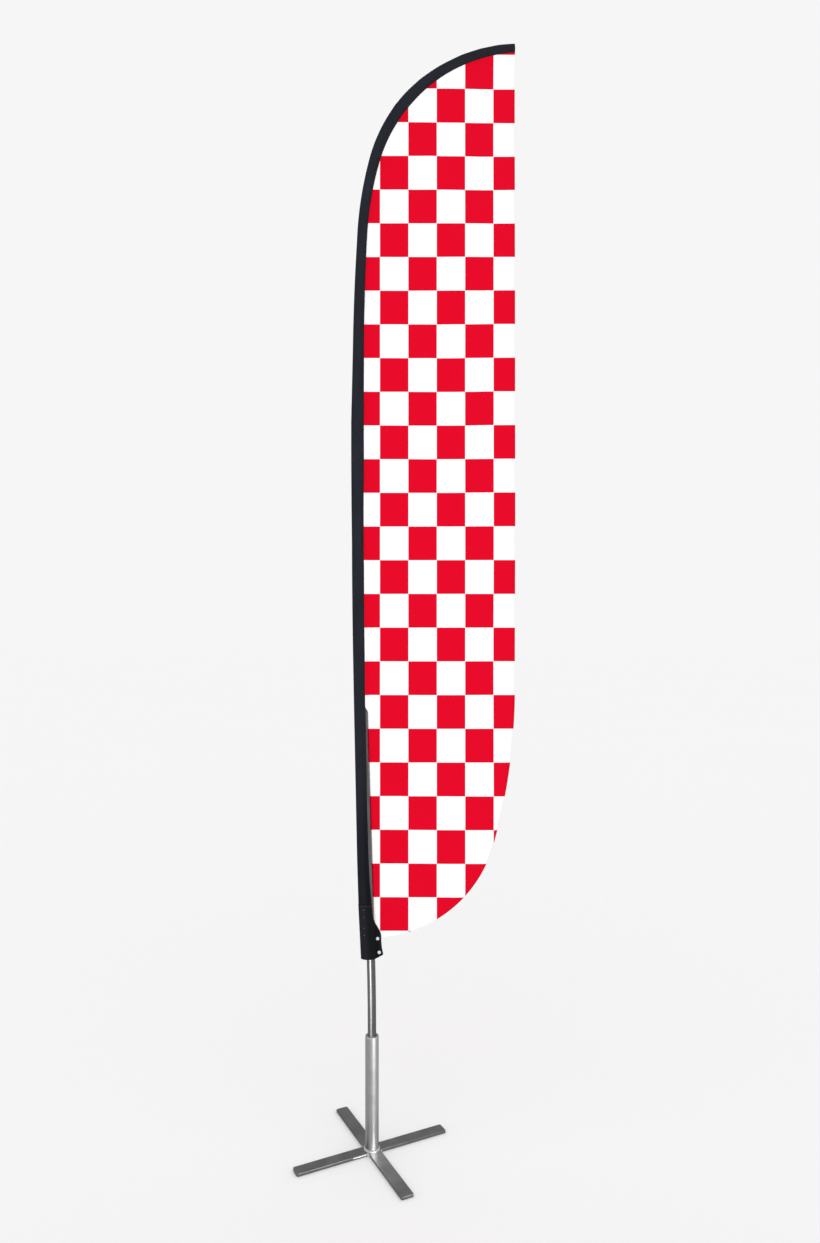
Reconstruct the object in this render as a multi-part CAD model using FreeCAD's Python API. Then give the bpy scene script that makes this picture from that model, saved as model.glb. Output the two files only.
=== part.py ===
"""Feather flag on a curved three-piece pole, standing in a welded cross base.

Units are millimetres. The origin is on the floor, on the socket tube's axis. +X points from the
pole towards the flag, +Y to the back and +Z up. The flag hangs in the XZ plane.
"""
import FreeCAD, Part
import math
import os
from FreeCAD import Vector

UP = Vector(0, 0, 1)
BACK = Vector(0, 1, 0)

# Cross base: one long flat bar with two shorter arms butt-welded to its sides
BAR_LENGTH = 610.0
BAR_WIDTH = 48.0
BAR_THICKNESS = 10.0
BAR_CORNER = 6.0
BAR_EDGE = 1.2
CROSS_YAW = 26.5                # direction of the arms, from +X
CORNER_BEAD = 7.0               # leg of the weld in each inner corner of the cross
CORNER_CROWN = 0.55             # where a crowned weld's face passes, as a share of its leg
SEAM_BEAD_RADIUS = 2.2
SEAM_BEAD_LENGTH = 55.0

# Socket tube with what it holds
SOCKET_OD = 50.8
SOCKET_WALL = 2.6
SOCKET_TOP = 430.0
FOOT_WELD = 5.5
FOOT_CROWN = 0.62
COLLAR_HEIGHT = 7.0
COLLAR_SPIGOT = 12.0
COLLAR_BORE = 34.0
COLLAR_ROUND = 4.5
BUSHING_LENGTH = 40.0
WASHER_THICKNESS = 2.0
WASHER_OD = 44.0
WASHER_ID = 12.0
CUP_FLOOR = 3.0
CUP_HEIGHT = 33.0
RUNNING_CLEARANCE = 0.05        # radial, between the pole and the parts that guide it
CUP_CLEARANCE = 0.1             # radial, between the swivel cup and the socket tube

# Pole: two aluminium tubes and a fibreglass tip, each pushed into the one below
LOWER_OD = 32.0
LOWER_ID = 28.0
MIDDLE_OD = 27.9
MIDDLE_ID = 24.0
FERRULE_OD = 23.9
FERRULE_ID = 18.1
TIP_ROD_BUTT = 18.0
TIP_ROD_END = 8.0
PLUG_FLANGE = 5.0
PLUG_LENGTH = 30.0
STOP_COLLAR = 12.0
STOP_EDGE = 1.5
CAP_OD = 13.0
CAP_LENGTH = 20.0

# The pole's centreline from its foot up, as (length, turn towards the flag in degrees)
PATH = [
    (430.0, 0.0),               # upright in the socket
    (300.0, -1.75),             # leans away from the flag
    (1110.0, 0.0),              # straight, past the lower joint
    (900.0, 1.9),
    (260.0, 0.0),               # straight, past the upper joint
    (427.0, 2.9),
    (295.0, 12.6),              # the crook begins
    (723.0, 71.8),              # the crook
]
CROOK_START = sum(length for length, turn in PATH[:-2])
PATH_LENGTH = sum(length for length, turn in PATH)
FOOT_Z = BAR_THICKNESS + WASHER_THICKNESS + CUP_FLOOR + PLUG_FLANGE
LOWER_END = 1700.0              # places along the path
MIDDLE_START = 1580.0
MIDDLE_END = 2980.0
FERRULE_START = 2860.0
FERRULE_END = 3000.0
ROD_START = 2870.0
ROD_END = 4425.0
ROD_SPACING = 95.0              # between the circles that the rod is lofted through

# Sleeve: an oval fabric tube round the pole, as (place along the path, left, right, depth)
SLEEVE_OVALS = [
    (700.0, 37.0, 21.5, 39.0),
    (912.0, 41.0, 21.5, 39.0),
    (1080.0, 41.0, 21.5, 39.0),
    (1680.0, 35.0, 21.5, 38.5),
    (2280.0, 27.5, 21.5, 38.0),
    (2730.0, 27.5, 21.5, 37.0),
    (3000.0, 22.0, 21.5, 35.0),
    (3400.0, 17.5, 20.0, 28.0),
    (3640.0, 18.5, 20.0, 27.0),
    (3980.0, 21.5, 21.5, 27.0),
    (4200.0, 17.0, 20.5, 24.0),
    (PATH_LENGTH, 15.0, 17.0, 20.0),
]
OVAL_SPACING = 120.0            # between the ovals of a loft, below the crook
CROOK_SPACING = 55.0
LAST_SPACING = 20.0             # an oval nearer than this to the last one is left out
SLEEVE_CLOTH = 1.2
SLEEVE_END_WALL = 4.0
CUFF_BOTTOM = 707.0
CUFF_TOP = 912.0
SLEEVE_START = 912.0
SLIT_TOP = 1650.0               # the front of the sleeve is unsewn from the cuff up to here
SLIT_EDGE = 5.0                 # the unsewn edge, to the right of the pole's centreline
SLIT_REACH = 30.0               # how far the cut reaches to the right and to the front
POCKET_LENGTH = 38.0
POCKET_GAP = 0.4
POCKET_WALL = 1.4
FAR = 60.0                      # beyond the sleeve on any side, for the cutting shapes

# Cuff: a back panel and a front flap that press-studs hold together to the right of the pole
TAB_CLOTH = 1.2
TAB_FRONT = -3.0                # front face of the front tab, along Y
TAB_BACK = 1.2                  # front face of the back tab
FLAP_GAP = 0.8                  # between the flap and the back panel, along Y
FLAP_TOP_GAP = 3.0              # between the flap and the sleeve above it
FLAP_TAB_LEFT = 12.0            # where the flap's tab leaves the cuff's oval
FLARE = [                       # the tab's edge: (height above the cuff's bottom, to the right)
    (0.0, 24.0),
    (12.0, 47.0),
    (35.0, 42.5),
    (60.0, 41.0),
    (88.0, 41.0),
    (103.0, 36.0),
    (118.0, 28.0),
    (139.0, 15.5),
    (165.0, 10.5),
    (205.0, 7.0),
]
SNAP_PLACES = [(21.0, 32.0), (73.0, 27.5)]      # (height above the cuff's bottom, to the right)
SNAP_CAP_RADIUS = 6.3
SNAP_CAP_HEIGHT = 1.4
SNAP_CAP_ROUND = 1.0
SNAP_SOCKET_RADIUS = 5.4
SNAP_SOCKET_HEIGHT = 2.2
SNAP_FLANGE = 0.8               # the socket's flange, behind its bore
SNAP_ROOM = 0.1                 # between the cap's shank and the bore behind the flange
SNAP_BORE = 2.3
SNAP_STUD = 1.9
SNAP_STUD_HEIGHT = 1.6
STUD_FLANGE = 0.5
STUD_FLANGE_RADIUS = 5.0
SNAP_SHANK = 1.4
POST_SHANK = 0.95
POST_REACH = 1.0                # how deep the stud is bored for the post
POST_HEAD = 0.9
POST_HEAD_RADIUS = 5.2
RIVET_PLACES = [92.0, 119.0, 160.0, 187.0]
RIVET_SIDE = -21.0
RIVET_RADIUS = 2.3
RIVET_HEIGHT = 1.2
RIVET_GAP = 0.1

# Flag panel
FLAG_CLOTH = 1.2
FLAG_OFFSET = 22.5              # from the pole's centreline to the panel's sewn edge
FLAG_TOP_END = PATH_LENGTH - 2.0
FLAG_STRAIGHT_END = 1745.0      # height where the free edge begins to turn in
FLAG_SIDE_ARC = (2170.0, 15.9)  # (radius, turn in degrees)
FLAG_FOOT_ARC = (478.0, 66.0)
FLAG_SEW_START = 872.0          # place along the path where the sewn edge begins
FLAG_FOOT_CORNER = Vector(28.0, 0, 806.0)


# ---------------------------------------------------------------- the pole's centreline

def step(point, heading, length, turn):
    """The end of one run or arc that starts at point; headings and turns are in degrees."""
    middle = math.radians(heading + turn / 2.0)
    half = math.radians(abs(turn)) / 2.0
    chord = length * math.sin(half) / half if half else length
    end = point + Vector(math.sin(middle), 0, math.cos(middle)) * chord
    return end, heading + turn


def station(place):
    """The centreline's point and heading at a length along it from the pole's foot."""
    point = Vector(0, 0, FOOT_Z)
    heading = 0.0
    left = place
    for length, turn in PATH:
        if left <= length:
            return step(point, heading, left, turn * left / length)
        point, heading = step(point, heading, length, turn)
        left -= length
    return point, heading


def tangent(place):
    heading = math.radians(station(place)[1])
    return Vector(math.sin(heading), 0, math.cos(heading))


def side(place):
    """The direction square to the centreline, towards the flag."""
    heading = math.radians(station(place)[1])
    return Vector(math.cos(heading), 0, -math.sin(heading))


def beside(place, across, back=0.0):
    """A point a given distance to the flag's side of the centreline, and behind it."""
    return station(place)[0] + side(place) * across + BACK * back


def path_breaks(start, end):
    """The places where the centreline changes radius between start and end."""
    breaks = [start]
    place = 0.0
    for length, turn in PATH:
        place += length
        if start < place < end:
            breaks.append(place)
    return breaks + [end]


def path_edges(start, end, across=0.0):
    """The centreline, or a line parallel to it, as straight edges and arcs."""
    edges = []
    breaks = path_breaks(start, end)
    for first, last in zip(breaks, breaks[1:]):
        points = [beside(place, across) for place in (first, (first + last) / 2.0, last)]
        if abs(station(first)[1] - station(last)[1]) < 1e-6:
            edges.append(Part.LineSegment(points[0], points[2]).toShape())
        else:
            edges.append(Part.Arc(*points).toShape())
    return edges


# ---------------------------------------------------------------- shapes along the centreline

def round_bar(start, end, radius):
    spine = Part.Wire(path_edges(start, end))
    profile = Part.Wire(Part.makeCircle(radius, station(start)[0], tangent(start)))
    return spine.makePipeShell([profile], True, False)


def round_tube(start, end, outer, inner):
    return round_bar(start, end, outer / 2.0).cut(round_bar(start, end, inner / 2.0))


def oval_size(place):
    """How far the sleeve reaches left and right of the centreline, and its depth."""
    for low, high in zip(SLEEVE_OVALS, SLEEVE_OVALS[1:]):
        if place <= high[0]:
            break
    share = (place - low[0]) / (high[0] - low[0])
    return [a + (b - a) * share for a, b in zip(low[1:], high[1:])]


def oval_at(place, grow=0.0):
    """The sleeve's cross-section, grown or shrunk all round."""
    left, right, depth = oval_size(place)
    centre = beside(place, (right - left) / 2.0)
    across = centre + side(place) * ((left + right) / 2.0 + grow)
    return Part.Wire(Part.Ellipse(across, centre + BACK * (depth / 2.0 + grow), centre).toShape())


def oval_bar(start, end, grow=0.0):
    """A solid with the sleeve's cross-section, lofted through closely spaced ovals."""
    places = [start]
    while places[-1] < end:
        spacing = CROOK_SPACING if places[-1] > CROOK_START else OVAL_SPACING
        places.append(min(end, places[-1] + spacing))
    if len(places) > 2 and places[-1] - places[-2] < LAST_SPACING:
        del places[-2]
    return Part.makeLoft([oval_at(place, grow) for place in places], True, False)


def side_panel(start, end, inner, outer, front, back):
    """A slab between two lines parallel to the centreline, from front to back along Y."""
    near = path_edges(start, end, inner)
    far = path_edges(start, end, outer)
    ends = [
        Part.LineSegment(beside(end, inner), beside(end, outer)).toShape(),
        Part.LineSegment(beside(start, outer), beside(start, inner)).toShape(),
    ]
    outline = Part.Wire(Part.sortEdges(near + far + ends)[0])
    outline.translate(BACK * front)
    return Part.Face(outline).extrude(BACK * (back - front))


# ---------------------------------------------------------------- base

def flat_bar():
    """A full-length bar along X, with rounded corners and eased edges."""
    corner = Vector(-BAR_LENGTH / 2.0, -BAR_WIDTH / 2.0, 0)
    bar = Part.makeBox(BAR_LENGTH, BAR_WIDTH, BAR_THICKNESS, corner)
    upright = [edge for edge in bar.Edges if abs(edge.tangentAt(edge.FirstParameter).z) > 0.9]
    bar = bar.makeFillet(BAR_CORNER, upright)
    level = [edge for edge in bar.Edges if abs(edge.tangentAt(edge.FirstParameter).z) < 0.1]
    return bar.makeFillet(BAR_EDGE, level)


def turned(shape, yaw):
    shape = shape.copy()
    shape.rotate(Vector(0, 0, 0), UP, yaw)
    return shape


def cross_bar():
    return turned(flat_bar(), CROSS_YAW + 90.0)


def arm(yaw):
    """Half a bar that butts against the side of the long bar."""
    start = Vector(BAR_WIDTH / 2.0, -BAR_WIDTH, -1.0)
    outside = Part.makeBox(BAR_LENGTH, 2.0 * BAR_WIDTH, BAR_THICKNESS + 2.0, start)
    return turned(flat_bar().common(outside), yaw)


def corner_weld():
    """A weld in one inner corner of the cross, with a slightly crowned face."""
    corner = BAR_WIDTH / 2.0
    tip_x = Vector(corner + CORNER_BEAD, corner, BAR_EDGE)
    tip_y = Vector(corner, corner + CORNER_BEAD, BAR_EDGE)
    out = corner + CORNER_BEAD * CORNER_CROWN
    crown = Vector(out, out, BAR_EDGE)
    inner = Vector(corner, corner, BAR_EDGE)
    edges = [
        Part.LineSegment(inner, tip_x).toShape(),
        Part.Arc(tip_x, crown, tip_y).toShape(),
        Part.LineSegment(tip_y, inner).toShape(),
    ]
    return Part.Face(Part.Wire(edges)).extrude(UP * (BAR_THICKNESS - 2.0 * BAR_EDGE))


def seam_weld():
    """A short run of weld along the side of an arm, next to the cross."""
    face = BAR_WIDTH / 2.0
    start = Vector(face + CORNER_BEAD, face, BAR_THICKNESS - BAR_EDGE - SEAM_BEAD_RADIUS)
    bead = Part.makeCylinder(SEAM_BEAD_RADIUS, SEAM_BEAD_LENGTH, start, Vector(1, 0, 0))
    bead = bead.fuse(Part.makeSphere(SEAM_BEAD_RADIUS, start + Vector(SEAM_BEAD_LENGTH, 0, 0)))
    return bead.cut(Part.makeBox(BAR_LENGTH, face, BAR_THICKNESS)).removeSplitter()


def cross_welds():
    beads = [turned(corner_weld(), CROSS_YAW + quarter * 90.0) for quarter in range(4)]
    return Part.makeCompound(beads)


def seam_weld_bead():
    return turned(seam_weld(), CROSS_YAW + 180.0)


def ring(outer, inner, bottom, height):
    place = UP * bottom
    solid = Part.makeCylinder(outer / 2.0, height, place)
    return solid.cut(Part.makeCylinder(inner / 2.0, height, place))


def socket_tube():
    bore = SOCKET_OD - 2.0 * SOCKET_WALL
    return ring(SOCKET_OD, bore, BAR_THICKNESS, SOCKET_TOP - BAR_THICKNESS)


def socket_foot_weld():
    """A crowned fillet weld round the foot of the socket tube."""
    radius = SOCKET_OD / 2.0
    low = BAR_THICKNESS
    outer = Vector(radius + FOOT_WELD, 0, low)
    crown = Vector(radius + FOOT_WELD * FOOT_CROWN, 0, low + FOOT_WELD * FOOT_CROWN)
    upper = Vector(radius, 0, low + FOOT_WELD)
    inner = Vector(radius, 0, low)
    edges = [
        Part.LineSegment(inner, outer).toShape(),
        Part.Arc(outer, crown, upper).toShape(),
        Part.LineSegment(upper, inner).toShape(),
    ]
    return Part.Face(Part.Wire(edges)).revolve(Vector(0, 0, 0), UP, 360.0)


def socket_collar():
    """The ring that closes the socket's mouth round the pole, with a rounded shoulder."""
    bore = SOCKET_OD - 2.0 * SOCKET_WALL
    top = Part.makeCylinder(SOCKET_OD / 2.0, COLLAR_HEIGHT, UP * SOCKET_TOP)
    rim = [edge for edge in top.Edges if edge.Closed and edge.CenterOfMass.z > SOCKET_TOP + 1.0]
    top = top.makeFillet(COLLAR_ROUND, rim)
    spigot = Part.makeCylinder(bore / 2.0, COLLAR_SPIGOT, UP * (SOCKET_TOP - COLLAR_SPIGOT))
    height = COLLAR_SPIGOT + COLLAR_HEIGHT
    hole = Part.makeCylinder(COLLAR_BORE / 2.0, height, UP * (SOCKET_TOP - COLLAR_SPIGOT))
    return top.fuse(spigot).cut(hole).removeSplitter()


def upper_bushing():
    bore = SOCKET_OD - 2.0 * SOCKET_WALL
    bottom = SOCKET_TOP - COLLAR_SPIGOT - BUSHING_LENGTH
    return ring(bore, LOWER_OD + 2.0 * RUNNING_CLEARANCE, bottom, BUSHING_LENGTH)


def thrust_washer():
    return ring(WASHER_OD, WASHER_ID, BAR_THICKNESS, WASHER_THICKNESS)


def swivel_cup():
    """The cup that carries the pole's foot and turns on the thrust washer."""
    bottom = BAR_THICKNESS + WASHER_THICKNESS + CUP_CLEARANCE
    height = CUP_HEIGHT - CUP_CLEARANCE
    outer = SOCKET_OD / 2.0 - SOCKET_WALL - CUP_CLEARANCE
    floor = BAR_THICKNESS + WASHER_THICKNESS + CUP_FLOOR
    pocket = Part.makeCylinder(LOWER_OD / 2.0 + RUNNING_CLEARANCE, height, UP * floor)
    return Part.makeCylinder(outer, height, UP * bottom).cut(pocket)


# ---------------------------------------------------------------- pole

def pole_foot_plug():
    flange = Part.makeCylinder(LOWER_OD / 2.0, PLUG_FLANGE, UP * (FOOT_Z - PLUG_FLANGE))
    return flange.fuse(Part.makeCylinder(LOWER_ID / 2.0, PLUG_LENGTH, UP * FOOT_Z)).removeSplitter()


def lower_pole_tube():
    return round_tube(0.0, LOWER_END, LOWER_OD, LOWER_ID)


def middle_pole_tube():
    return round_tube(MIDDLE_START, MIDDLE_END, MIDDLE_OD, MIDDLE_ID)


def stop_collar(start, outer, inner):
    """A collar that stops one pole section as it is pushed into the next."""
    place, along = station(start)[0], tangent(start)
    body = Part.makeCylinder(outer / 2.0, STOP_COLLAR, place, along)
    far = [edge for edge in body.Edges
           if edge.Closed and (edge.CenterOfMass - place).dot(along) > STOP_COLLAR / 2.0]
    body = body.makeFillet(STOP_EDGE, far)
    return body.cut(Part.makeCylinder(inner / 2.0, STOP_COLLAR, place, along))


def tip_ferrule():
    return round_tube(FERRULE_START, FERRULE_END, FERRULE_OD, FERRULE_ID)


def rod_radius(place):
    share = (place - FERRULE_END) / (ROD_END - FERRULE_END)
    return (TIP_ROD_BUTT + (TIP_ROD_END - TIP_ROD_BUTT) * share) / 2.0


def tip_rod():
    """The fibreglass rod: parallel in its ferrule, then tapering evenly to its end."""
    places = [FERRULE_END]
    while places[-1] < ROD_END:
        places.append(min(ROD_END, places[-1] + ROD_SPACING))
    wires = []
    for place in places:
        circle = Part.makeCircle(rod_radius(place), station(place)[0], tangent(place))
        wires.append(Part.Wire(circle))
    butt = Part.makeCylinder(TIP_ROD_BUTT / 2.0, FERRULE_END - ROD_START,
                             station(ROD_START)[0], tangent(ROD_START))
    return butt.fuse(Part.makeLoft(wires, True, False)).removeSplitter()


def tip_cap():
    """A rubber cap with a domed end, pushed over the rod's end."""
    start = ROD_END - CAP_LENGTH + CAP_OD / 2.0
    place, along = station(start)[0], tangent(start)
    body = Part.makeCylinder(CAP_OD / 2.0, CAP_LENGTH - CAP_OD / 2.0, place, along)
    dome = Part.makeSphere(CAP_OD / 2.0, place + along * (CAP_LENGTH - CAP_OD / 2.0))
    hole = round_bar(start - 1.0, ROD_END, rod_radius(start) + RUNNING_CLEARANCE)
    return body.fuse(dome).removeSplitter().cut(hole)


# ---------------------------------------------------------------- sleeve and flag

def pole_sleeve():
    """The black sleeve: closed at its tip, and unsewn in front just above the cuff."""
    outer = oval_bar(SLEEVE_START, PATH_LENGTH)
    hollow = oval_bar(SLEEVE_START - 1.0, PATH_LENGTH - SLEEVE_END_WALL, -SLEEVE_CLOTH)
    slit = side_panel(SLEEVE_START - 2.0, SLIT_TOP, SLIT_EDGE, SLIT_REACH, -SLIT_REACH, 0.0)
    return outer.cut(hollow).cut(slit)


def tip_pocket():
    """The webbing cup sewn inside the sleeve's end, where the tip pushes."""
    end = PATH_LENGTH - SLEEVE_END_WALL
    start = end - POCKET_LENGTH
    inset = SLEEVE_CLOTH + POCKET_GAP
    outer = oval_bar(start, end, -inset)
    return outer.cut(oval_bar(start - 1.0, end - SLEEVE_CLOTH, -inset - POCKET_WALL))


def flag_panel():
    """The flag: one flat panel from the sleeve to a free edge that turns in at its foot."""
    right = beside(FLAG_TOP_END, FLAG_OFFSET)
    start = Vector(right.x, 0, FLAG_STRAIGHT_END)
    edges = path_edges(FLAG_SEW_START, FLAG_TOP_END, FLAG_OFFSET)
    edges.append(Part.LineSegment(right, start).toShape())
    point, heading = start, 180.0
    for radius, turn in (FLAG_SIDE_ARC, FLAG_FOOT_ARC):
        length = radius * math.radians(turn)
        middle = step(point, heading, length / 2.0, turn / 2.0)[0]
        end, new_heading = step(point, heading, length, turn)
        edges.append(Part.Arc(point, middle, end).toShape())
        point, heading = end, new_heading
    edges.append(Part.LineSegment(point, FLAG_FOOT_CORNER).toShape())
    sewn = beside(FLAG_SEW_START, FLAG_OFFSET)
    edges.append(Part.LineSegment(FLAG_FOOT_CORNER, sewn).toShape())
    outline = Part.Wire(Part.sortEdges(edges)[0])
    outline.translate(BACK * (-FLAG_CLOTH / 2.0))
    return Part.Face(outline).extrude(BACK * FLAG_CLOTH)


def cuff_shell():
    """The whole oval cuff, before it is split into its back panel and its front flap."""
    outer = oval_bar(CUFF_BOTTOM, CUFF_TOP)
    hollow = oval_bar(CUFF_BOTTOM - 1.0, CUFF_TOP + 1.0, -SLEEVE_CLOTH)
    return outer.cut(hollow)


def flared_slab(left, front, back):
    """A slab from a line left of the pole to the tab's flared right edge."""
    low = [beside(CUFF_BOTTOM, left)]
    points = low + [beside(CUFF_BOTTOM + up, across) for up, across in FLARE]
    points += [beside(CUFF_TOP, left), low[0]]
    outline = Part.makePolygon(points)
    outline.translate(BACK * front)
    return Part.Face(outline).extrude(BACK * (back - front))


def snap_hole(height, across, front, back):
    """The hole that a snap's shank passes through."""
    radius = SNAP_SHANK + RUNNING_CLEARANCE
    return Part.makeCylinder(radius, back - front, snap_place(height, across, front), BACK)


def snap_place(height, across, back):
    return beside(CUFF_BOTTOM + height, across, back)


def snap_row(make):
    return Part.makeCompound([make(height, across) for height, across in SNAP_PLACES])


def cuff_back():
    """The cuff's back panel, with the tab that carries the studs."""
    oval_right = SLEEVE_OVALS[0][2]
    back_half = side_panel(CUFF_BOTTOM - 1.0, CUFF_TOP + 1.0, -FAR, FAR, 0.0, FAR)
    shell = cuff_shell().common(back_half)
    lip = oval_right - 2.0 * SLEEVE_CLOTH
    tab = flared_slab(lip, TAB_BACK, TAB_BACK + TAB_CLOTH)
    hollow = oval_bar(CUFF_BOTTOM - 1.0, CUFF_TOP + 1.0, -SLEEVE_CLOTH)
    panel = shell.fuse(tab.cut(hollow)).removeSplitter()
    for height, across in SNAP_PLACES:
        panel = panel.cut(snap_hole(height, across, 0.0, SNAP_CAP_RADIUS))
    return biggest(panel)


def cuff_flap():
    """The cuff's front flap, which swings open about the sleeve's left fold."""
    front_half = side_panel(CUFF_BOTTOM - 1.0, CUFF_TOP + 1.0, -FAR, FAR, -FAR, -FLAP_GAP)
    cover = flared_slab(-FAR, -FAR, 0.0)
    shell = cuff_shell().common(front_half).common(cover)
    tab = flared_slab(FLAP_TAB_LEFT, TAB_FRONT, TAB_FRONT + TAB_CLOTH)
    hollow = oval_bar(CUFF_BOTTOM - 1.0, CUFF_TOP + 1.0, -SLEEVE_CLOTH)
    flap = shell.fuse(tab.cut(hollow))
    clear = side_panel(CUFF_TOP - FLAP_TOP_GAP, CUFF_TOP + 1.0, -FAR, FAR, -FAR, 0.0)
    flap = flap.cut(clear).removeSplitter()
    for height, across in SNAP_PLACES:
        flap = flap.cut(snap_hole(height, across, -SNAP_CAP_RADIUS, 0.0))
    return biggest(flap)


def biggest(shape):
    """The largest solid of a cut, which drops slivers left beside it."""
    return max(shape.Solids, key=lambda solid: solid.Volume)


def snap_cap(height, across):
    """A domed cap on the flap's face, with the shank that goes through the cloth."""
    face = snap_place(height, across, TAB_FRONT)
    disc = Part.makeCylinder(SNAP_CAP_RADIUS, SNAP_CAP_HEIGHT, face, -BACK)
    middle = face.y - SNAP_CAP_HEIGHT / 2.0
    rim = [edge for edge in disc.Edges if edge.Closed and edge.CenterOfMass.y < middle]
    disc = disc.makeFillet(SNAP_CAP_ROUND, rim)
    shank = Part.makeCylinder(SNAP_SHANK, TAB_CLOTH + SNAP_FLANGE - SNAP_ROOM, face, BACK)
    return disc.fuse(shank).removeSplitter()


def snap_socket(height, across):
    """The female half behind the flap: a flanged ring that grips the stud."""
    face = snap_place(height, across, TAB_FRONT + TAB_CLOTH)
    body = Part.makeCylinder(SNAP_SOCKET_RADIUS, SNAP_SOCKET_HEIGHT, face, BACK)
    depth = SNAP_SOCKET_HEIGHT - SNAP_FLANGE
    bore = Part.makeCylinder(SNAP_BORE, depth, face + BACK * SNAP_FLANGE, BACK)
    shank = Part.makeCylinder(SNAP_SHANK + RUNNING_CLEARANCE, SNAP_FLANGE, face, BACK)
    return body.cut(bore).cut(shank)


def snap_stud(height, across):
    """The male half in front of the back tab."""
    face = snap_place(height, across, TAB_BACK)
    flange = Part.makeCylinder(STUD_FLANGE_RADIUS, STUD_FLANGE, face, -BACK)
    nose = Part.makeCylinder(SNAP_STUD, SNAP_STUD_HEIGHT, face, -BACK)
    shank = Part.makeCylinder(POST_SHANK + RUNNING_CLEARANCE, POST_REACH, face, -BACK)
    return flange.fuse(nose).removeSplitter().cut(shank)


def snap_post(height, across):
    """The post behind the back tab, riveted through the cloth into the stud."""
    face = snap_place(height, across, TAB_BACK + TAB_CLOTH)
    head = Part.makeCylinder(POST_HEAD_RADIUS, POST_HEAD, face, BACK)
    length = TAB_CLOTH + POST_REACH - SNAP_ROOM
    shank = Part.makeCylinder(POST_SHANK, length, face, -BACK)
    return head.fuse(shank).removeSplitter()


def cuff_rivets():
    """Four small rivets on the front of the cuff, square to its oval face."""
    rivets = []
    for height in RIVET_PLACES:
        place = CUFF_BOTTOM + height
        left, right, depth = oval_size(place)
        middle = (right - left) / 2.0
        half = (right + left) / 2.0
        lean = (RIVET_SIDE - middle) / half
        out = math.sqrt(1.0 - lean * lean)
        face = beside(place, RIVET_SIDE, -depth / 2.0 * out)
        normal = side(place) * (lean / half) - BACK * (out / (depth / 2.0))
        normal.normalize()
        foot = face + normal * RIVET_GAP
        rivets.append(Part.makeCylinder(RIVET_RADIUS, RIVET_HEIGHT, foot, normal))
    return Part.makeCompound(rivets)


NODES = {
    "cross_bar": cross_bar(),
    "left_arm": arm(CROSS_YAW + 180.0),
    "right_arm": arm(CROSS_YAW),
    "cross_welds": cross_welds(),
    "seam_weld_bead": seam_weld_bead(),
    "socket_tube": socket_tube(),
    "socket_foot_weld": socket_foot_weld(),
    "socket_collar": socket_collar(),
    "upper_bushing": upper_bushing(),
    "thrust_washer": thrust_washer(),
    "swivel_cup": swivel_cup(),
    "pole_foot_plug": pole_foot_plug(),
    "lower_pole_tube": lower_pole_tube(),
    "middle_pole_tube": middle_pole_tube(),
    "middle_stop_collar": stop_collar(LOWER_END, LOWER_OD, MIDDLE_OD),
    "tip_ferrule": tip_ferrule(),
    "tip_stop_collar": stop_collar(MIDDLE_END, MIDDLE_OD, FERRULE_OD),
    "tip_rod": tip_rod(),
    "tip_cap": tip_cap(),
    "pole_sleeve": pole_sleeve(),
    "tip_pocket": tip_pocket(),
    "flag_panel": flag_panel(),
    "cuff_back": cuff_back(),
    "cuff_flap": cuff_flap(),
    "snap_caps": snap_row(snap_cap),
    "snap_sockets": snap_row(snap_socket),
    "snap_studs": snap_row(snap_stud),
    "snap_posts": snap_row(snap_post),
    "cuff_rivets": cuff_rivets(),
}

os.makedirs("parts", exist_ok=True)
for name, shape in NODES.items():
    shape.exportStep("parts/" + name + ".step")
    box = shape.BoundBox
    print("%-20s solids %d valid %s volume %.0f  x %.1f..%.1f y %.1f..%.1f z %.1f..%.1f" % (
        name, len(shape.Solids), shape.isValid(), shape.Volume,
        box.XMin, box.XMax, box.YMin, box.YMax, box.ZMin, box.ZMax))
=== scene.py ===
"""Looks of the feather flag: cloth, sleeve, cuff, metals, floor, light and camera. Units are metres."""
import math

import bpy
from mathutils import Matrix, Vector, noise


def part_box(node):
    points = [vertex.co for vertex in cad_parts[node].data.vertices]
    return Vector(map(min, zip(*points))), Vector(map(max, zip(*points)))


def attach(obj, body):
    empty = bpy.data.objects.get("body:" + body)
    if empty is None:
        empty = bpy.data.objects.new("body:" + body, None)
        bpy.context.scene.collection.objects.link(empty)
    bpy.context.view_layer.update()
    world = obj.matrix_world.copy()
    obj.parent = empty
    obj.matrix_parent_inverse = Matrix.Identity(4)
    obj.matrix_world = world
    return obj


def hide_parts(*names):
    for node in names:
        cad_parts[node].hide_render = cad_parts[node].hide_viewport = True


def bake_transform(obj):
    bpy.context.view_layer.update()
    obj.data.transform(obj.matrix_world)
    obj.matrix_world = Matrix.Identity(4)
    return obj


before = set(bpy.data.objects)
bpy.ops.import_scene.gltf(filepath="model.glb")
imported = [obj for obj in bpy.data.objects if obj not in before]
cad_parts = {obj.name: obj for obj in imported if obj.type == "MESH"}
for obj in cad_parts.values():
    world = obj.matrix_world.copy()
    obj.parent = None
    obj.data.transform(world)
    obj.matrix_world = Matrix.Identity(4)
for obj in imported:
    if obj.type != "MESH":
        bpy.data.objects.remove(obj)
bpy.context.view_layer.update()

# The pole's centreline from its foot up, as (length, turn towards the flag in degrees)
PATH = [(0.430, 0.0), (0.300, -1.75), (1.110, 0.0), (0.900, 1.9), (0.260, 0.0), (0.427, 2.9),
        (0.295, 12.6), (0.723, 71.8)]
PATH_LENGTH = sum(length for length, turn in PATH)
FOOT_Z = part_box("lower_pole_tube")[0].z

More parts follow.
